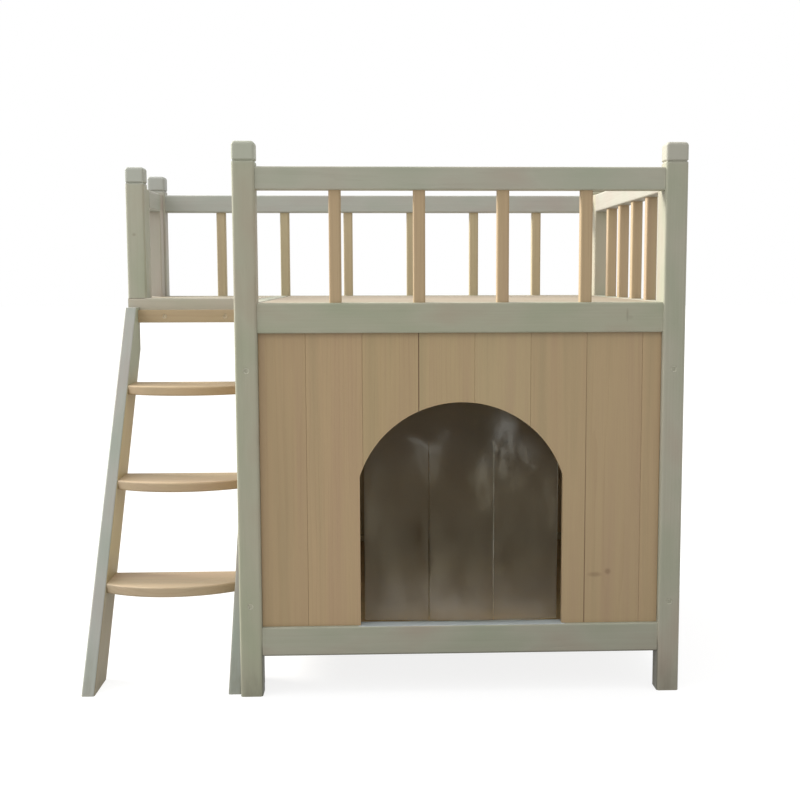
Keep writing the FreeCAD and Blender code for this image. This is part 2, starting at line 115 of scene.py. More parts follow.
def spread(tree, value, low, high, toLow=0.0, toHigh=1.0):
    limits = {0: value, 1: low, 2: high, 3: toLow, 4: toHigh}
    return addNode(tree, "MapRange", limits, interpolation_type="SMOOTHSTEP").outputs[0]


def mixTone(tree, share, first, second):
    return addNode(tree, "Mix", {0: share, 6: first, 7: second}, data_type="RGBA").outputs[2]


def layOver(tree, tone, share, colour):
    return mixTone(tree, share, tone, toLinear(*colour))


def ramp(tree, value, stops):
    made = addNode(tree, "ValToRGB", {0: value})
    keys = made.color_ramp.elements
    keys[0].position, keys[0].color = stops[0][0], toLinear(*stops[0][1])
    keys[1].position, keys[1].color = stops[-1][0], toLinear(*stops[-1][1])
    for spot, tone in stops[1:-1]:
        keys.new(spot).color = toLinear(*tone)
    return made.outputs[0]


def speckle(tree, where, stretch, detail=2.0, rough=0.5):
    scaled = addNode(tree, "Mapping", {"Vector": where, "Scale": stretch}).outputs[0]
    noise = {"Vector": scaled, "Scale": 1.0, "Detail": detail, "Roughness": rough}
    return addNode(tree, "TexNoise", noise).outputs[0]


def onPiece(tree, kind="Object"):
    return addNode(tree, "TexCoord", {}).outputs[kind]


def axes(tree, vector):
    return addNode(tree, "SeparateXYZ", {0: vector}).outputs


def looksTo(tree, axis, way, show, start=0.6):  # share of a face that looks along an axis
    along = times(tree, axes(tree, onPiece(tree, "Normal"))[axis], way)
    return spread(tree, along, start, 0.9, 0.0, show)


def addBump(tree, shader, height, strength, depth):
    bump = addNode(tree, "Bump", {"Height": height, "Strength": strength, "Distance": depth})
    tree.links.new(bump.outputs[0], shader.inputs["Normal"])


def newFinish(name):
    made = bpy.data.materials.new(name)
    made.use_nodes = True
    return made, made.node_tree, made.node_tree.nodes["Principled BSDF"]


# light
studio = {
    "sunFrom": (-0.74, 0.46, 0.49), "sunPower": 5.4, "sunSpread": 20,  # degrees
    "sunTone": (255, 251, 242), "sky": 0.79,
    "floorSize": 40, "floorTone": 0.22, "floorGlow": 0.84, "floorBounce": 0.42, "floorRough": 0.9,
    "lamps": {"sideLamp": ((-1.75, -0.58, 1.15), (-0.3, 0.0, 0.35), 1.5, 16),  # place, aim, width, power
              "topLamp": ((0.0, 0.0, 2.4), (0.0, 0.0, 0.4), 2.2, 20)},
}


def cameraSees(tree):
    rays = addNode(tree, "LightPath", {}).outputs
    seen = sums(tree, "MAXIMUM", rays["Is Camera Ray"], rays["Is Glossy Ray"])
    return sums(tree, "MAXIMUM", seen, rays["Is Transmission Ray"])


def addLamp(name, kind, place, towards, power):
    bpy.ops.object.light_add(type=kind, location=place)
    lamp = bpy.context.object
    lamp.name = name
    lamp.rotation_euler = Vector(towards).to_track_quat("Z", "Y").to_euler()
    lamp.data.energy = power
    lamp.data.cycles.use_multiple_importance_sampling = False  # keeps bright specks out of the house
    return lamp.data


def addLamps():
    sun = addLamp("softSun", "SUN", studio["sunFrom"], studio["sunFrom"], studio["sunPower"])
    sun.angle = math.radians(studio["sunSpread"])
    sun.color = toLinear(*studio["sunTone"])[:3]
    for name, (place, aim, width, power) in studio["lamps"].items():
        lamp = addLamp(name, "AREA", place, Vector(place) - Vector(aim), power)
        lamp.size = width


def addSky():
    world = bpy.context.scene.world or bpy.data.worlds.new("studioSky")
    bpy.context.scene.world = world
    world.use_nodes = True
    tree = world.node_tree
    sky = tree.nodes["Background"]
    sky.inputs["Color"].default_value = (1, 1, 1, 1)
    level = addNode(tree, "Mix", {0: cameraSees(tree), 2: studio["sky"], 3: 1.0}).outputs[0]
    tree.links.new(level, sky.inputs["Strength"])


def addFloor():
    bpy.ops.object.select_all(action="DESELECT")
    bpy.ops.mesh.primitive_plane_add(size=studio["floorSize"], location=(0, 0, 0))
    floor = bpy.context.object
    floor.name = "paleFloor"
    finish, tree, shader = newFinish("paleFloorFinish")
    seen = cameraSees(tree)
    pale, dim = studio["floorTone"], studio["floorBounce"]
    tone = mixTone(tree, seen, (dim, dim, dim, 1), (pale, pale, pale, 1))
    tree.links.new(tone, shader.inputs["Base Color"])
    shader.inputs["Roughness"].default_value = studio["floorRough"]
    shader.inputs["Specular IOR Level"].default_value = 0.0
    shader.inputs["Emission Color"].default_value = (1, 1, 1, 1)
    tree.links.new(times(tree, seen, studio["floorGlow"]), shader.inputs["Emission Strength"])
    floor.data.materials.append(finish)


addLamps()
addSky()
addFloor()
print("studio light and floor set")

# timber finishes, lengths in metres
sagePaint = {
    "tones": [(147, 151, 131), (156, 155, 138), (155, 147, 131)], "toneStops": (0.3, 0.52, 0.72),
    "clouds": (17, 17, 8), "patches": (60, 60, 16), "hair": (520, 520, 12), "hairRough": 0.6,
    "pith": (0.03, 0.08), "ringCount": (55, 80), "grainShow": 0.06, "ringRelief": 0.4,
    "paler": (190, 186, 166), "wornAndLitShow": 0.22, "wornAndLitEdge": (0.0034, 0.0006),
    "grime": (116, 112, 96), "soilTop": 0.07, "soilShow": 0.5,
    "rough": (0.5, 0.64), "bump": 0.3, "bumpDepth": 0.0004,
}
bareWood = {
    "tones": [(159, 140, 108), (168, 146, 113), (163, 139, 110)], "toneStops": (0.32, 0.5, 0.7),
    "streaks": (34, 34, 1.3), "hair": (640, 640, 9), "hairRough": 0.65, "hairShow": 0.14,
    "boardStep": 0.09,  # how far one board may differ from the next
    "pith": (0.02, 0.09), "ringCount": (45, 70), "ringRelief": 0.5,
    "lateWood": (141, 114, 82), "lineShow": 0.16, "lineFades": (24, 24, 5),
    "knot": (98, 70, 47), "knotSpread": (9.0, 9.0, 3.2), "knotEdge": (0.075, 0.03),
    "knotRarity": 0.92, "knotShow": 0.75, "endGrain": (150, 122, 88), "endShow": 0.55,
    "rough": (0.52, 0.7), "bump": 0.35, "bumpDepth": 0.0005,
}
lean = math.radians(33.85)  # ladder sides from upright
grainTurn = {"z": (0, 0, 0), "y": (math.pi / 2, 0, 0), "x": (0, -math.pi / 2, 0), "slope": (lean, 0, 0)}
tintAndLight = {  # lighter, darker or cooler than the rest, added to the tones; several are painted light and shade, such as the floor boards lightened for light through the doorway and the right rail lightened for sun
    "landing_front_beam": (18, 12, 14), "landing_side_beam": (10, 6, 8), "back_top_rail": (10, 13, 22),
    "landing_back_post": (6, 5, 11), "landing_rear_stile": (9, 3, 9), "landing_side_rail": (6, 7, 14),
    "ladder_left_stringer": (-4, -2, 8), "ladder_right_stringer": (-2, 2, 11), "front_top_rail": (6, 6, 7),
    "front_right_post": (6, 4, 4), "back_right_post": (17, 13, 9), "right_rear_stile": (15, 11, 8),
    "back_bottom_rail": (-2, -16, -28), "deck_boards": (-18, -8, 5), "landing_boards": (-10, 2, 14),
    "floor_boards": (34, 30, 22), "right_top_rail": (8, 7, 13), "right_balusters": (10, 12, 12),
    "right_front_stile": (8, 8, 8), "front_balusters": (5, 4, 3), "back_balusters": (10, 18, 19),
    "ladder_step_1": (5, 8, 13), "ladder_step_2": (6, 9, 12), "ladder_step_3": (6, 7, 8),
    "ladder_crossbar": (2, 6, 6), "front_left_post": (3, 2, -1), "front_deck_rail": (2, 2, -1),
    "front_board_left_4": (-3, -4, -6), "front_board_left_3": (1, -1, -3), "front_board_left_2": (0, 0, -4),
    "front_board_left_1": (2, 3, -1), "front_board_right_1": (2, 4, 1), "front_board_right_2": (0, 0, -2),
    "front_board_right_3": (0, 0, -2), "front_board_right_4": (2, 1, -1),
}
repeated = {  # counted axis, first edge, step
    "front_balusters": (0, -0.1131, 0.1108), "back_balusters": (0, -0.3373, 0.11243),
    "right_balusters": (1, -0.1964, 0.0982), "right_wall_boards": (1, -0.2375, 0.07917),
    "left_wall_boards": (1, -0.2375, 0.07917), "back_wall_boards": (0, -0.1605, 0.07686),
    "deck_boards": (1, -0.2675, 0.07643), "floor_boards": (1, -0.2675, 0.07643),
    "landing_boards": (1, 0.1085, 0.079), "deck_cleats": (0, -0.4, 0.16), "floor_cleats": (0, -0.4, 0.16),
}


def grainPlace(tree, name, grain):
    place = onPiece(tree)
    own = seam = None
    if name in repeated:  # each board or baluster is its own stick
        axis, first, step = repeated[name]
        ratio = sums(tree, "DIVIDE", minus(tree, axes(tree, place)[axis], first), step)
        seam = times(tree, sums(tree, "PINGPONG", ratio, 0.5), step)
        chance = addNode(tree, "TexWhiteNoise", {"W": sums(tree, "FLOOR", ratio)}, noise_dimensions="1D")
        own = chance.outputs["Value"]
        shift = {0: chance.outputs["Color"], "Scale": 3.0}
        shift = addNode(tree, "VectorMath", shift, operation="SCALE").outputs[0]
        place = addNode(tree, "VectorMath", {0: place, 1: shift}, operation="ADD").outputs[0]
    start = tuple(dice.uniform(-4, 4) for _ in range(3))
    turn = {"Vector": place, "Location": start, "Rotation": grainTurn[grain]}
    return addNode(tree, "Mapping", turn).outputs[0], own, seam


def nearEdge(tree, name):
    low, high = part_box(name)
    parts = axes(tree, onPiece(tree))
    depth = [sums(tree, "MINIMUM", minus(tree, parts[i], low[i]), minus(tree, high[i], parts[i]))
             for i in range(3)]
    less = sums(tree, "MINIMUM", depth[0], depth[1])
    more = sums(tree, "MAXIMUM", depth[0], depth[1])
    return sums(tree, "MAXIMUM", less, sums(tree, "MINIMUM", more, depth[2]))  # second nearest side


def rings(tree, where, look):
    pith = (dice.uniform(*look["pith"]), dice.uniform(*look["pith"]), 0)
    moved = addNode(tree, "Mapping", {"Vector": where, "Location": pith, "Scale": (1, 1, 0.06)}).outputs[0]
    wave = {"Vector": moved, "Scale": dice.uniform(*look["ringCount"]), "Distortion": 5.0, "Detail": 2.0,
            "Detail Scale": 1.4, "Detail Roughness": 0.55}
    made = addNode(tree, "TexWave", wave, wave_type="RINGS", rings_direction="Z", wave_profile="SAW")
    return made.outputs["Fac"]


def baseTone(tree, name, look, cloud):
    more = tintAndLight.get(name, (0, 0, 0))
    tones = [tuple(channel + extra for channel, extra in zip(tone, more)) for tone in look["tones"]]
    return ramp(tree, cloud, list(zip(look["toneStops"], tones)))


def joinTimber(tree, shader, look, tone, hair, lines):
    tree.links.new(tone, shader.inputs["Base Color"])
    tree.links.new(spread(tree, hair, 0.3, 0.7, *look["rough"]), shader.inputs["Roughness"])
    relief = plus(tree, times(tree, hair, 0.6), times(tree, lines, look["ringRelief"]))
    addBump(tree, shader, relief, look["bump"], look["bumpDepth"])


# small marks on single pieces
openSeams = {  # x of a dark seam, strength at the top and at the bottom
    "front_board_left_1": (0.052, 0.75, 0.75), "front_board_left_2": (0.052, 0.75, 0.75),
    "front_board_right_2": (0.277, 0.1, 0.6), "front_board_right_3": (0.277, 0.1, 0.6),
}
smallKnots = {  # x, z, half width, half height, strength
    "front_deck_rail": [(0.3297, 0.515, 0.0018, 0.010, 0.4), (0.334, 0.512, 0.004, 0.003, 0.2)],
    "landing_front_post": [(-0.395, 0.634, 0.0035, 0.003, 0.5)],
    "front_board_right_3": [(0.291, 0.162, 0.011, 0.004, 0.35), (0.309, 0.166, 0.005, 0.005, 0.4)],
}
markEdges = {  # from faint to full
    "knot": (1.2, 0.3), "openSeam": (0.0011, 0.0004), "seamSpan": (0.1, 0.5), "boardSeam": (0.0014, 0.0004),
}


def addMarks(tree, name, tone, dark):
    parts = axes(tree, onPiece(tree))
    for x, z, halfWide, halfTall, strength in smallKnots.get(name, []):
        across = sums(tree, "DIVIDE", minus(tree, parts[0], x), halfWide)
        upward = sums(tree, "DIVIDE", minus(tree, parts[2], z), halfTall)
        away = plus(tree, sums(tree, "POWER", across, 2), sums(tree, "POWER", upward, 2))
        eye = spread(tree, sums(tree, "SQRT", away), *markEdges["knot"], 0.0, strength)
        tone = layOver(tree, tone, eye, dark)
    if name in openSeams:
        seam, upper, lower = openSeams[name]
        away = sums(tree, "ABSOLUTE", minus(tree, parts[0], seam))
        depth = spread(tree, parts[2], *markEdges["seamSpan"], lower, upper)
        tone = layOver(tree, tone, times(tree, spread(tree, away, *markEdges["openSeam"]), depth), dark)
    return tone


# painted frame
paintMarksAndShade = {
    "sillTone": (178, 185, 186), "sillSpan": (-0.028, 0.248), "sillFade": 0.004, "sillShow": 0.9,
    "capLevels": (0.711, 0.719), "capShow": 0.85,
    "shade": (70, 71, 58), "underRail": (0.0034, 0.0008), "underShow": 0.65,
    "footLevels": (0.08, 0.058), "footShow": 0.7,
    "ladderTones": [  # height and tone of the tan inner faces of the ladder sides, darkest at the foot as painted shade under the bottom step
        (0.10, (147, 135, 107)), (0.16, (177, 164, 123)), (0.37, (180, 167, 127)), (0.43, (159, 167, 147))],
    "ladderShow": 0.85, "ladderDrift": 0.08,
}
paleCap = {  # post tops made paler
    "front_left_post": (165, 167, 152), "front_right_post": (166, 164, 152),
    "landing_front_post": (157, 160, 151), "landing_back_post": (153, 155, 149),
}
footShade = {"front_left_post": 1, "front_right_post": -1}  # side along X that faces the other foot
tanInsideFace = {"ladder_left_stringer": 1, "ladder_right_stringer": -1}  # side of the tan inner face along X


def marksAndShadeOnPaint(tree, name, tone, height, broad):
    marksAndShade = paintMarksAndShade
    if name in tanInsideFace:
        level = sums(tree, "MULTIPLY_ADD", minus(tree, broad, 0.5), marksAndShade["ladderDrift"], height)
        tanFace = looksTo(tree, 0, tanInsideFace[name], marksAndShade["ladderShow"])
        tone = mixTone(tree, tanFace, tone, ramp(tree, level, marksAndShade["ladderTones"]))
    tone = addMarks(tree, name, tone, sagePaint["grime"])
    if name == "front_bottom_rail":  # sill top made paler across the doorway
        start, end = marksAndShade["sillSpan"]
        across = axes(tree, onPiece(tree))[0]
        within = times(tree, spread(tree, across, start - marksAndShade["sillFade"], start),
                       spread(tree, across, end + marksAndShade["sillFade"], end))
        paler = times(tree, looksTo(tree, 2, 1, marksAndShade["sillShow"]), within)
        tone = layOver(tree, tone, paler, marksAndShade["sillTone"])
    if name in paleCap:
        cap = spread(tree, height, *marksAndShade["capLevels"], 0.0, marksAndShade["capShow"])
        tone = layOver(tree, tone, cap, paleCap[name])
    # dark band along the lower edge of the bottom rails: painted shade
    if name.endswith("bottom_rail"):
        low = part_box(name)[0][2]
        faint, full = marksAndShade["underRail"]
        under = spread(tree, height, low + faint, low + full, 0.0, marksAndShade["underShow"])
        tone = layOver(tree, tone, under, marksAndShade["shade"])
    if name in footShade:
        inner = looksTo(tree, 0, footShade[name], marksAndShade["footShow"], 0.5)
        inner = times(tree, inner, spread(tree, height, *marksAndShade["footLevels"]))
        tone = layOver(tree, tone, inner, marksAndShade["shade"])
    return tone


def paintedTimber(name, grain):
    look = sagePaint
    finish, tree, shader = newFinish("sagePaint." + name)
    where = grainPlace(tree, name, grain)[0]
    height = axes(tree, onPiece(tree))[2]
    broad = speckle(tree, where, look["clouds"])
    tone = baseTone(tree, name, look, broad)
    lines = rings(tree, where, look)
    hair = speckle(tree, where, look["hair"], 2.0, look["hairRough"])
    tone = layOver(tree, tone, times(tree, plus(tree, lines, hair), look["grainShow"]), look["grime"])
    patch = speckle(tree, where, look["patches"], 3.0, 0.6)
    # paler patchy edges: partly rubbed paint, partly a painted highlight on the rounded edges
    edge = spread(tree, nearEdge(tree, name), *look["wornAndLitEdge"])
    wornAndLit = times(tree, edge, spread(tree, patch, 0.4, 0.62))
    tone = layOver(tree, tone, times(tree, wornAndLit, look["wornAndLitShow"]), look["paler"])
    tone = marksAndShadeOnPaint(tree, name, tone, height, broad)
    soil = times(tree, spread(tree, height, look["soilTop"], 0.0), spread(tree, patch, 0.3, 0.7))
    tone = layOver(tree, tone, times(tree, soil, look["soilShow"]), look["grime"])
    joinTimber(tree, shader, look, tone, hair, lines)
    return finish


# bare boards, balusters and steps
boardSeams = {  # strength of the dark line between boards
    "right_wall_boards": 0.6, "left_wall_boards": 0.6, "back_wall_boards": 0.6,
    "deck_boards": 0.45, "landing_boards": 0.45,
}
boardTop = {"tone": (46, 36, 22), "reach": 0.0095, "past": 0.001, "show": 0.3}  # shade under the deck rail


def knotEyes(tree, where):
    look = bareWood
    cells = addNode(tree, "Mapping", {"Vector": where, "Scale": look["knotSpread"]}).outputs[0]
    knots = addNode(tree, "TexVoronoi", {"Vector": cells, "Scale": 1.0, "Randomness": 1.0}).outputs
    picked = sums(tree, "GREATER_THAN", axes(tree, knots["Color"])[0], look["knotRarity"])
    eye = times(tree, spread(tree, knots["Distance"], *look["knotEdge"]), picked)
    return times(tree, eye, look["knotShow"])


def sawnEnds(tree, grain):
    turn = {"Vector": onPiece(tree, "Normal"), "Rotation": grainTurn[grain]}
    along = axes(tree, addNode(tree, "Mapping", turn, vector_type="NORMAL").outputs[0])[2]
    return spread(tree, sums(tree, "ABSOLUTE", along), 0.6, 0.95, 0.0, bareWood["endShow"])


def bareTimber(name, grain):
    look = bareWood
    inFront = name.startswith("front_board")
    finish, tree, shader = newFinish("bareWood." + name)
    where, own, seam = grainPlace(tree, name, grain)
    streak = speckle(tree, where, look["streaks"], 3.0, 0.55)
    if own is not None:
        streak = plus(tree, streak, spread(tree, own, 0.0, 1.0, -look["boardStep"], look["boardStep"]))
    tone = baseTone(tree, name, look, streak)
    lines = rings(tree, where, look)
    fade = spread(tree, speckle(tree, where, look["lineFades"]), 0.38, 0.66, 0.1, 1.0)
    late = times(tree, spread(tree, lines, 0.55, 1.0), times(tree, fade, look["lineShow"]))
    tone = layOver(tree, tone, late, look["lateWood"])
    hair = speckle(tree, where, look["hair"], 2.0, look["hairRough"])
    tone = layOver(tree, tone, spread(tree, hair, 0.62, 0.3, 0.0, look["hairShow"]), look["lateWood"])
    if not inFront:  # the front boards have only the knots listed for them
        tone = layOver(tree, tone, knotEyes(tree, where), look["knot"])
    tone = addMarks(tree, name, tone, look["knot"])
    if name in boardSeams:
        line = spread(tree, seam, *markEdges["boardSeam"], 0.0, boardSeams[name])
        tone = layOver(tree, tone, line, look["knot"])
    if inFront or name.endswith("wall_boards"):
        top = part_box(name)[1][2]
        height = axes(tree, onPiece(tree))[2]
        shade = spread(tree, height, top - boardTop["reach"], top + boardTop["past"], 0.0, boardTop["show"])
        tone = layOver(tree, tone, shade, boardTop["tone"])
    tone = layOver(tree, tone, sawnEnds(tree, grain), look["endGrain"])
    joinTimber(tree, shader, look, tone, hair, lines)
    return finish


bareGrain = {
    "x": ["deck_boards", "floor_boards", "landing_boards", "ladder_step_1", "ladder_step_2",
          "ladder_step_3", "ladder_crossbar", "curtain_batten"],
    "y": ["deck_cleats", "floor_cleats"],
    "z": ["front_balusters", "back_balusters", "right_balusters", "right_wall_boards", "left_wall_boards",
          "back_wall_boards"],
}
paintGrain = {
    "x": ["front_top_rail", "front_deck_rail", "front_bottom_rail", "back_top_rail", "back_deck_rail",
          "back_bottom_rail", "landing_front_beam"],
    "y": ["right_top_rail", "right_deck_rail", "right_bottom_rail", "left_deck_rail", "left_bottom_rail",
          "landing_side_beam", "landing_side_rail"],
    "slope": ["ladder_left_stringer", "ladder_right_stringer"],
}
bareGrain["z"] += [name for name in sorted(timbers) if name.startswith("front_board")]
paintGrain["z"] = [name for name in sorted(timbers) if name.endswith(("post", "stile"))]


def coatTimbers(grains, makeFinish):
    for grain, names in grains.items():
        for name in names:
            timbers[name].data.materials.clear()
            timbers[name].data.materials.append(makeFinish(name, grain))
    return sum(map(len, grains.values()))


print("bare timber finished:", coatTimbers(bareGrain, bareTimber))
print("painted timber finished:", coatTimbers(paintGrain, paintedTimber))


# modelling helpers
def selectOnly(*pieces):
    bpy.ops.object.select_all(action="DESELECT")
    for piece in pieces:
        piece.select_set(True)
    if pieces:
        bpy.context.view_layer.objects.active = pieces[0]


def startPiece(name):
    piece = bpy.context.object
    piece.name = name
    piece.data.name = name
    return piece


def pickFaces(piece, chosen):
    bpy.ops.object.mode_set(mode="OBJECT")
    for parts in (piece.data.polygons, piece.data.edges, piece.data.vertices):
        for part in parts:
            part.select = False
    for face in piece.data.polygons:
        face.select = chosen(face)
    bpy.ops.object.mode_set(mode="EDIT")
    bpy.ops.mesh.select_mode(type="FACE")


def pullOut(way):
    bpy.ops.mesh.extrude_region_move(TRANSFORM_OT_translate={"value": way})


def applyModifier(piece, kind, **settings):
    made = piece.modifiers.new(kind.title(), kind)
    for name, value in settings.items():
        setattr(made, name, value)
    bpy.context.view_layer.objects.active = piece
    bpy.ops.object.modifier_apply(modifier=made.name)


# screws
screwShape = {
    "sides": 24, "head": 0.004, "headDepth": 0.0025, "rim": 0.0005, "dish": 0.0004,
    "shank": 0.002, "straight": 0.01, "point": 0.006, "tip": 0.12,  # tip as a share of the shank
    "slotLong": 0.0048, "slotWide": 0.0011, "slotDeep": 0.0017,
}
screwSteel = {"tone": (184, 170, 142), "tarnish": (160, 142, 114), "metal": 0.25, "rough": (0.4, 0.6)}
# painted-over heads, set lighter than the frame paint as painted light against the shade in their dish and
# cross
screwPainted = {"tone": (178, 177, 158), "tarnish": (164, 161, 142), "metal": 0.0, "rough": (0.5, 0.64)}
screwGrit = {"clouds": (700, 700, 700), "scratches": (2500, 2500, 2500), "bump": 0.2, "bumpDepth": 0.0001}


def screwFinish(name, look):
    finish, tree, shader = newFinish(name)
    cloud = speckle(tree, onPiece(tree), screwGrit["clouds"], 3.0, 0.6)
    tone = layOver(tree, toLinear(*look["tone"]), spread(tree, cloud, 0.45, 0.75), look["tarnish"])
    tree.links.new(tone, shader.inputs["Base Color"])
    shader.inputs["Metallic"].default_value = look["metal"]
    tree.links.new(spread(tree, cloud, 0.3, 0.7, *look["rough"]), shader.inputs["Roughness"])
    scratch = speckle(tree, onPiece(tree), screwGrit["scratches"], 2.0, 0.6)
    addBump(tree, shader, scratch, screwGrit["bump"], screwGrit["bumpDepth"])
    return finish


def modelScrew():
    size = screwShape
    selectOnly()
    bpy.ops.mesh.primitive_cylinder_add(vertices=size["sides"], radius=size["head"],
                                        depth=size["headDepth"], location=(0, 0, -size["headDepth"] / 2))
    screw = startPiece("screwPattern")
    bpy.ops.object.transform_apply(location=True, rotation=True, scale=True)
    pickFaces(screw, lambda face: face.normal.z < -0.9)
    share = size["shank"] / size["head"]  # countersink
    bpy.ops.transform.resize(value=(share, share, 1), center_override=(0, 0, -size["headDepth"]))
    pullOut((0, 0, -size["straight"]))
    pullOut((0, 0, -size["point"]))
    tipPlace = (0, 0, -size["headDepth"] - size["straight"] - size["point"])
    bpy.ops.transform.resize(value=(size["tip"], size["tip"], 1), center_override=tipPlace)
    pickFaces(screw, lambda face: face.normal.z > 0.9)
    bpy.ops.mesh.inset(thickness=size["rim"])
    bpy.ops.transform.translate(value=(0, 0, -size["dish"]))  # shallow dish inside a rim
    bpy.ops.object.mode_set(mode="OBJECT")
    cutter = modelCross()
    selectOnly(screw)
    applyModifier(screw, "BOOLEAN", object=cutter, operation="DIFFERENCE", solver="EXACT")
    bpy.data.objects.remove(cutter)
    return screw


def modelCross():
    wide = screwShape["slotWide"]
    reach = (screwShape["slotLong"] - wide) / 2
    selectOnly()
    bpy.ops.mesh.primitive_cube_add(size=1, location=(0, 0, 0))
    cutter = startPiece("screwCross")
    bpy.ops.object.mode_set(mode="EDIT")
    bpy.ops.transform.resize(value=(wide, wide, screwShape["slotDeep"] * 2))
    for way in (Vector((1, 0, 0)), Vector((-1, 0, 0)), Vector((0, 1, 0)), Vector((0, -1, 0))):
        pickFaces(cutter, lambda face, way=way: face.normal.dot(way) > 0.9
                  and abs(face.center.dot(way)) < wide * 0.6)
        pullOut(way * reach)
    bpy.ops.object.mode_set(mode="OBJECT")
    return cutter


def driveScrews(pattern, name, nodeName, places, finish):
    size = screwShape
    made = []
    for number, (spot, way, length) in enumerate(places):
        copy = bpy.data.objects.new(name + "." + str(number), pattern.data.copy())
        bpy.context.collection.objects.link(copy)
        longer = length - size["headDepth"] - size["straight"] - size["point"]
        for point in copy.data.vertices:
            if point.co.z < -size["headDepth"] - size["straight"] / 2:
                point.co.z -= longer
        turn = Vector((0, 0, -1)).rotation_difference(Vector(way)).to_matrix().to_4x4()
        spin = Matrix.Rotation(dice.uniform(0, math.pi), 4, "Z")  # slots never line up
        copy.data.transform(Matrix.Translation(Vector(spot)) @ turn @ spin)
        made.append(copy)
    selectOnly(*made)
    bpy.ops.object.join()
    piece = startPiece(name)
    piece.data.materials.clear()
    piece.data.materials.append(finish)
    bpy.ops.object.shade_smooth_by_angle(angle=math.radians(35))
    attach(piece, "house")
    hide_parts(nodeName)
    print(name, "driven:", len(made))


frameRow = {"x": (-0.1755, 0.3925), "y": 0.2975, "z": (0.125, 0.443), "long": 0.050}  # front and back posts
ladderRow = {  # x and way of each side, y and z of each step, two screws a step
    "sides": ((-0.4075, 1), (-0.1905, -1)), "steps": ((-0.1981, 0.126), (-0.1089, 0.259), (-0.0197, 0.392)),
    "shifts": (0.016, 0.048), "long": 0.043,
}
crossbarRow = {"x": (-0.3475, -0.2505), "y": 0.0715, "z": 0.503, "long": 0.030}
battenRow = {"x": (0.0095, 0.1095, 0.2095), "y": -0.266, "z": 0.413, "long": 0.020}
framePlaces = [((x, side * frameRow["y"], z), (0, -side, 0), frameRow["long"])
               for side in (-1, 1) for x in frameRow["x"] for z in frameRow["z"]]
ladderPlaces = [((x, y + shift, z), (way, 0, 0), ladderRow["long"]) for x, way in ladderRow["sides"]
                for y, z in ladderRow["steps"] for shift in ladderRow["shifts"]]
ladderPlaces += [((x, crossbarRow["y"], crossbarRow["z"]), (0, 1, 0), crossbarRow["long"])
                 for x in crossbarRow["x"]]
curtainPlaces = [((x, battenRow["y"], battenRow["z"]), (0, -1, 0), battenRow["long"])
                 for x in battenRow["x"]]
screwPattern = modelScrew()
steel = screwFinish("screwSteel", screwSteel)
painted = screwFinish("screwPainted", screwPainted)
driveScrews(screwPattern, "frameScrews", "frame_screws", framePlaces, painted)
driveScrews(screwPattern, "ladderScrews", "ladder_screws", ladderPlaces, steel)
driveScrews(screwPattern, "curtainScrews", "curtain_screws", curtainPlaces, steel)
bpy.data.objects.remove(screwPattern)

# clear curtain
clearSheet = {
    "tone": (250, 248, 239), "ior": 1.19, "rough": (0.3, 0.4),
    "plain": 0.5,  # share seen straight through, unblurred
    "stain": [  # height and tone, yellowed lower down
        (0.12, (250, 250, 248)), (0.17, (254, 247, 224)), (0.29, (254, 247, 226)), (0.35, (245, 247, 245))],
    "clouds": (42, 42, 20), "ripples": (60, 60, 10), "rippleShow": 0.12, "rippleDepth": 0.001,
    "dustAndLight": (0.010, 0.035, 0.072), "dustAndLightLevels": (0.38, 0.27, 0.12),  # top, middle, bottom; heavier lower down, partly dust and partly painted light of the lit floor seen through
    "shadedSide": (-0.006, 0.004), "shadedShare": 0.85, "shadedBelow": (0.19, 0.23),  # left edge, low down: less veil there, painted shade
    "hazeAndLight": 0.16, "wisps": (120, 120, 46), "wispShow": (0.3, 1.25), "drift": 0.024, "driftScale": 48.0,
    "smudgeAndLightEdge": (1.5, 0.1),
    "smudgesAndLight": [  # x, z, half width, half height, tilt in degrees, strength, below 0 where the veil thins; partly haze, partly painted reflection, the low ones painted light of the lit floor behind, and the two small spots at the slit tops painted highlights
        (0.0522, 0.3443, 0.016, 0.004, -22, 0.6), (0.0655, 0.3377, 0.003, 0.003, 0, 1.0),
        (0.0630, 0.3405, 0.020, 0.009, 0, 0.25), (0.0625, 0.3254, 0.025, 0.020, 0, 0.36),
        (0.0795, 0.3455, 0.009, 0.018, -20, 0.4), (0.0678, 0.3009, 0.016, 0.015, 0, 0.3),
        (0.1440, 0.3135, 0.011, 0.018, 20, 0.18), (0.1365, 0.2965, 0.0115, 0.025, -12, 0.42),
        (0.1455, 0.2673, 0.014, 0.028, 8, 0.3), (0.1690, 0.3606, 0.017, 0.030, 10, 0.8),
        (0.1700, 0.3370, 0.020, 0.016, 0, 0.6), (0.1655, 0.3170, 0.013, 0.020, 10, 0.45),
        (0.1775, 0.2960, 0.018, 0.022, 0, 0.2), (0.1990, 0.3304, 0.020, 0.019, 0, 0.35),
        (0.2023, 0.3155, 0.013, 0.003, -25, 0.7), (0.1535, 0.3337, 0.003, 0.008, 0, 1.3),
        (0.0960, 0.2441, 0.003, 0.0015, 0, 0.6), (0.0602, 0.2242, 0.002, 0.002, 0, 0.5),
        (0.0761, 0.1611, 0.013, 0.042, -10, 0.35), (0.1030, 0.1150, 0.034, 0.026, 0, 0.4),
        (0.1940, 0.1146, 0.036, 0.016, 0, 0.2), (0.0329, 0.1279, 0.030, 0.036, 0, 0.2),
        (0.1624, 0.1660, 0.006, 0.005, 0, 0.3), (0.2000, 0.2650, 0.034, 0.050, 0, 0.09),
        (0.2310, 0.2620, 0.013, 0.040, 0, 0.33), (-0.0060, 0.2950, 0.018, 0.050, 0, 0.16),
        (-0.0140, 0.2380, 0.012, 0.040, 0, 0.25), (0.0510, 0.2050, 0.010, 0.034, 0, -0.2)],
}
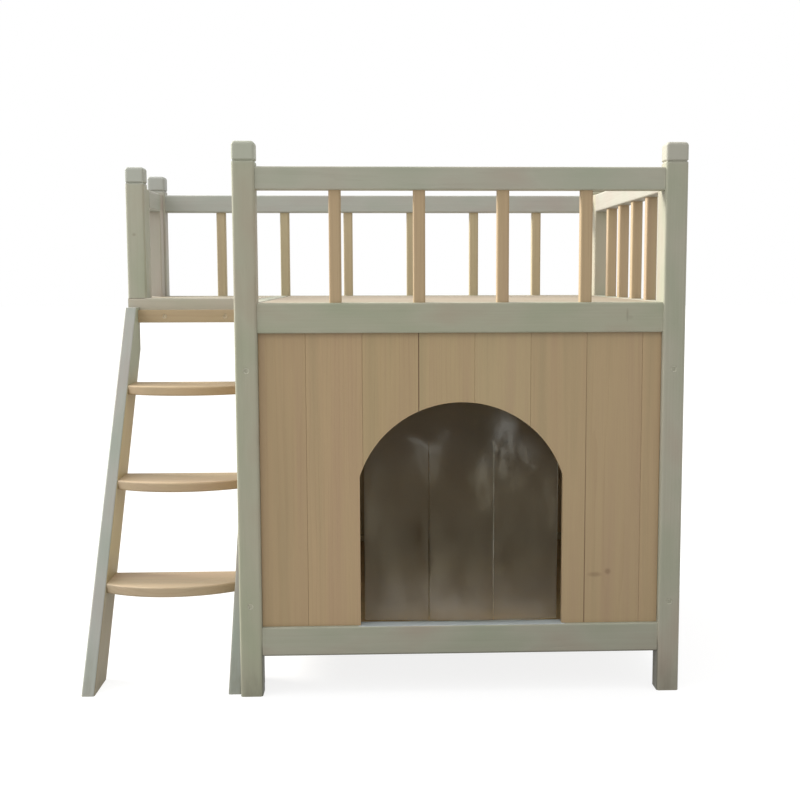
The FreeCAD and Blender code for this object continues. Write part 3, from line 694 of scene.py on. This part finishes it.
cutEdge = {
    # whitish frosted cut edges, also a painted highlight along the slits
    "tone": (222, 222, 210), "nicks": (60, 60, 30), "clear": (0.64, 0.94),
    "rough": (0.3, 0.5), "plain": 0.2,
    "leftSide": (0.08, 0.14), "leftMore": 0.3, "lowDown": (0.21, 0.14), "lowMore": 0.12,  # more see-through there
}


def onSheet(tree):
    return addNode(tree, "Attribute", {}, attribute_name="restPlace").outputs["Vector"]


def drifted(tree, place):
    noise = {"Vector": place, "Scale": clearSheet["driftScale"], "Detail": 4.0, "Roughness": 0.6}
    shove = {0: addNode(tree, "TexNoise", noise).outputs["Color"], 1: (0.5, 0.5, 0.5)}
    shove = addNode(tree, "VectorMath", shove, operation="SUBTRACT").outputs[0]
    shove = {0: shove, "Scale": clearSheet["drift"]}
    shove = addNode(tree, "VectorMath", shove, operation="SCALE").outputs[0]
    return axes(tree, addNode(tree, "VectorMath", {0: place, 1: shove}, operation="ADD").outputs[0])


# whitish spots on the sheet: partly haze, partly painted reflection and painted light
def smudgeAndLightFog(tree, parts):
    fogAndLight = None
    for x, z, halfWide, halfTall, tilt, strength in clearSheet["smudgesAndLight"]:
        turn = math.radians(tilt)
        sideways = minus(tree, parts[0], x)
        upward = minus(tree, parts[2], z)
        along = sums(tree, "MULTIPLY_ADD", sideways, math.cos(turn), times(tree, upward, math.sin(turn)))
        over = sums(tree, "MULTIPLY_ADD", upward, math.cos(turn), times(tree, sideways, -math.sin(turn)))
        far = {0: sums(tree, "DIVIDE", along, halfWide), 1: sums(tree, "DIVIDE", over, halfTall)}
        far = addNode(tree, "CombineXYZ", far).outputs[0]
        away = addNode(tree, "VectorMath", {0: far}, operation="LENGTH").outputs["Value"]
        spot = spread(tree, away, *clearSheet["smudgeAndLightEdge"], 0.0, strength)
        fogAndLight = spot if fogAndLight is None else sums(tree, "MULTIPLY_ADD", minus(tree, 1.0, fogAndLight), spot, fogAndLight)
    return fogAndLight


def dustAndLightOn(tree, height, across, cloud):
    look = clearSheet
    top, middle, bottom = look["dustAndLight"]
    high, mid, low = look["dustAndLightLevels"]
    # whitish veil by height: partly dust, partly painted light of the lit floor behind
    dustAndLight = plus(tree, spread(tree, height, high, mid, top, middle),
                spread(tree, height, mid, low, 0.0, bottom - middle))
    dustAndLight = times(tree, dustAndLight, spread(tree, cloud, 0.3, 0.7, 0.7, 1.3))
    # less veil at the left edge low down: painted shade
    shadedLeft = spread(tree, across, *look["shadedSide"], look["shadedShare"], 1.0)
    return times(tree, dustAndLight, sums(tree, "MAXIMUM", shadedLeft, spread(tree, height, *look["shadedBelow"])))


def seeThrough(tree, shader, share):
    pane = addNode(tree, "BsdfTransparent", {"Color": toLinear(*clearSheet["tone"])}).outputs[0]
    both = addNode(tree, "MixShader", {0: share, 1: shader.outputs[0], 2: pane}).outputs[0]
    tree.links.new(both, tree.nodes["Material Output"].inputs["Surface"])


def clearFinish():
    look = clearSheet
    finish, tree, shader = newFinish("clearSheet")
    place = onSheet(tree)
    height = axes(tree, place)[2]
    cloud = speckle(tree, place, look["clouds"], 3.0, 0.6)
    parts = drifted(tree, place)
    wisp = speckle(tree, place, look["wisps"], 4.0, 0.65)
    fogAndLight = times(tree, smudgeAndLightFog(tree, parts), spread(tree, wisp, 0.34, 0.64, *look["wispShow"]))
    veil = sums(tree, "MULTIPLY_ADD", fogAndLight, look["hazeAndLight"], dustAndLightOn(tree, height, parts[0], cloud))
    tree.links.new(ramp(tree, height, look["stain"]), shader.inputs["Base Color"])
    tree.links.new(minus(tree, 1.0, veil, clamp=True), shader.inputs["Transmission Weight"])
    shader.inputs["IOR"].default_value = look["ior"]
    tree.links.new(spread(tree, cloud, 0.4, 0.8, *look["rough"]), shader.inputs["Roughness"])
    ripple = speckle(tree, place, look["ripples"])
    addBump(tree, shader, ripple, look["rippleShow"], look["rippleDepth"])
    seeThrough(tree, shader, look["plain"])
    return finish


def cutEdgeFinish():
    look = cutEdge
    finish, tree, shader = newFinish("clearSheetCutEdge")
    place = onSheet(tree)
    parts = axes(tree, place)
    nick = speckle(tree, place, look["nicks"], 3.0, 0.6)
    shader.inputs["Base Color"].default_value = toLinear(*look["tone"])
    clearer = plus(tree, spread(tree, parts[0], *look["leftSide"], look["leftMore"], 0.0),
                 spread(tree, parts[2], *look["lowDown"], 0.0, look["lowMore"]))
    clear = plus(tree, spread(tree, nick, 0.35, 0.65, *look["clear"]), clearer, clamp=True)
    tree.links.new(clear, shader.inputs["Transmission Weight"])
    shader.inputs["IOR"].default_value = clearSheet["ior"]
    tree.links.new(spread(tree, nick, 0.3, 0.7, *look["rough"]), shader.inputs["Roughness"])
    seeThrough(tree, shader, look["plain"])
    return finish


def joinLineFinish():
    finish, tree, shader = newFinish("clearSheetJoin")
    tree.nodes.remove(shader)
    pane = addNode(tree, "BsdfTransparent", {}).outputs[0]
    tree.links.new(pane, tree.nodes["Material Output"].inputs["Surface"])
    return finish


curtain = {
    "y": -0.27875, "thick": 0.0015, "left": -0.022, "right": 0.241,
    "top": 0.427, "slitTop": 0.345, "bottom": 0.098,
    "slits": (0.06547, 0.15353), "slitGap": 0.0005, "cell": 0.008, "rim": 0.0004,
    "bends": {  # from z down to z
        "left": (0.312, 0.276), "middle": (0.3449, 0.318), "right": (0.312, 0.276)},
    "still": 0.012,  # flat length below the start of a bend
}
flapSway = {  # depth and twist of the wave at the lower edge, phase
    "left": (0.0025, -0.0012, 0.9), "middle": (0.0030, 0.0014, 2.1), "right": (0.0022, 0.0012, 4.0),
}
flapWave = {"down": 21, "downShare": 0.35, "across": 1.6}  # radians a metre, share, radians a half width
edgeSlot, joinSlot = 1, 2  # places in the list of sheet finishes


def hangSheet(name, left, right, low, high, finishes):
    selectOnly()
    across = max(2, round((right - left) / curtain["cell"]))
    down = max(2, round((high - low) / curtain["cell"]))
    bpy.ops.mesh.primitive_grid_add(x_subdivisions=across, y_subdivisions=down, size=1, location=(0, 0, 0))
    sheet = startPiece(name)
    bpy.ops.object.mode_set(mode="EDIT")
    bpy.ops.transform.resize(value=(right - left, high - low, 1))
    bpy.ops.mesh.inset(thickness=curtain["rim"], use_boundary=True)
    bpy.ops.object.mode_set(mode="OBJECT")
    place = Matrix.Translation(((left + right) / 2, curtain["y"], (low + high) / 2))
    sheet.data.transform(place @ Matrix.Rotation(math.pi / 2, 4, "X"))
    for finish in finishes:
        sheet.data.materials.append(finish)
    rim = curtain["rim"] * 0.9
    for face in sheet.data.polygons:
        x, z = face.center.x, face.center.z
        if x < left + rim or x > right - rim or z < curtain["bottom"] + rim:
            face.material_index = edgeSlot
    return sheet


def thicken(sheet, joinLevel):
    applyModifier(sheet, "SOLIDIFY", thickness=curtain["thick"], offset=0.0, use_rim=True)
    for face in sheet.data.polygons:
        if abs(face.normal.z) > 0.9:
            atJoin = abs(face.center.z - joinLevel) < curtain["rim"]
            face.material_index = joinSlot if atJoin else edgeSlot
        elif abs(face.normal.x) > 0.9:
            face.material_index = edgeSlot
    rest = sheet.data.attributes.new("restPlace", "FLOAT_VECTOR", "POINT")
    for point in sheet.data.vertices:  # smudges and the painted light on the sheet stay in place on a swinging flap
        rest.data[point.index].vector = point.co
    selectOnly(sheet)
    bpy.ops.object.shade_smooth_by_angle(angle=math.radians(40))


def easeStep(value, start, end):
    share = min(1.0, max(0.0, (value - start) / (end - start)))
    return share * share * (3 - 2 * share)


def waveFlap(flap, side, start, end):
    sway, twist, phase = flapSway[side]
    free = curtain["bends"][side][0] - curtain["still"]
    for point in flap.data.vertices:
        hang = easeStep(point.co.z, free, curtain["bottom"])
        share = (point.co.x - start) / (end - start) * 2 - 1
        ripple = math.sin(point.co.z * flapWave["down"] + phase) * flapWave["downShare"]
        wave = ripple + math.cos(share * flapWave["across"] + phase)
        point.co.y += hang * (sway * wave + twist * share * hang)


def hangCurtain():
    finishes = [clearFinish(), cutEdgeFinish(), joinLineFinish()]
    top, join, low = curtain["top"], curtain["slitTop"], curtain["bottom"]
    header = hangSheet("curtainHeader", curtain["left"], curtain["right"], join, top, finishes)
    thicken(header, join)
    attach(header, "house")
    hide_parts("curtain_header")
    half = curtain["slitGap"] / 2
    edges = {"left": (curtain["left"], curtain["slits"][0] - half),
             "middle": (curtain["slits"][0] + half, curtain["slits"][1] - half),
             "right": (curtain["slits"][1] + half, curtain["right"])}
    for side, (start, end) in edges.items():
        flap = hangSheet("curtainFlap." + side, start, end, low, join, finishes)
        waveFlap(flap, side, start, end)
        thicken(flap, join)
        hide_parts("curtain_flap_" + side)
        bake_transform(flap)


hangCurtain()
print("clear curtain hung")
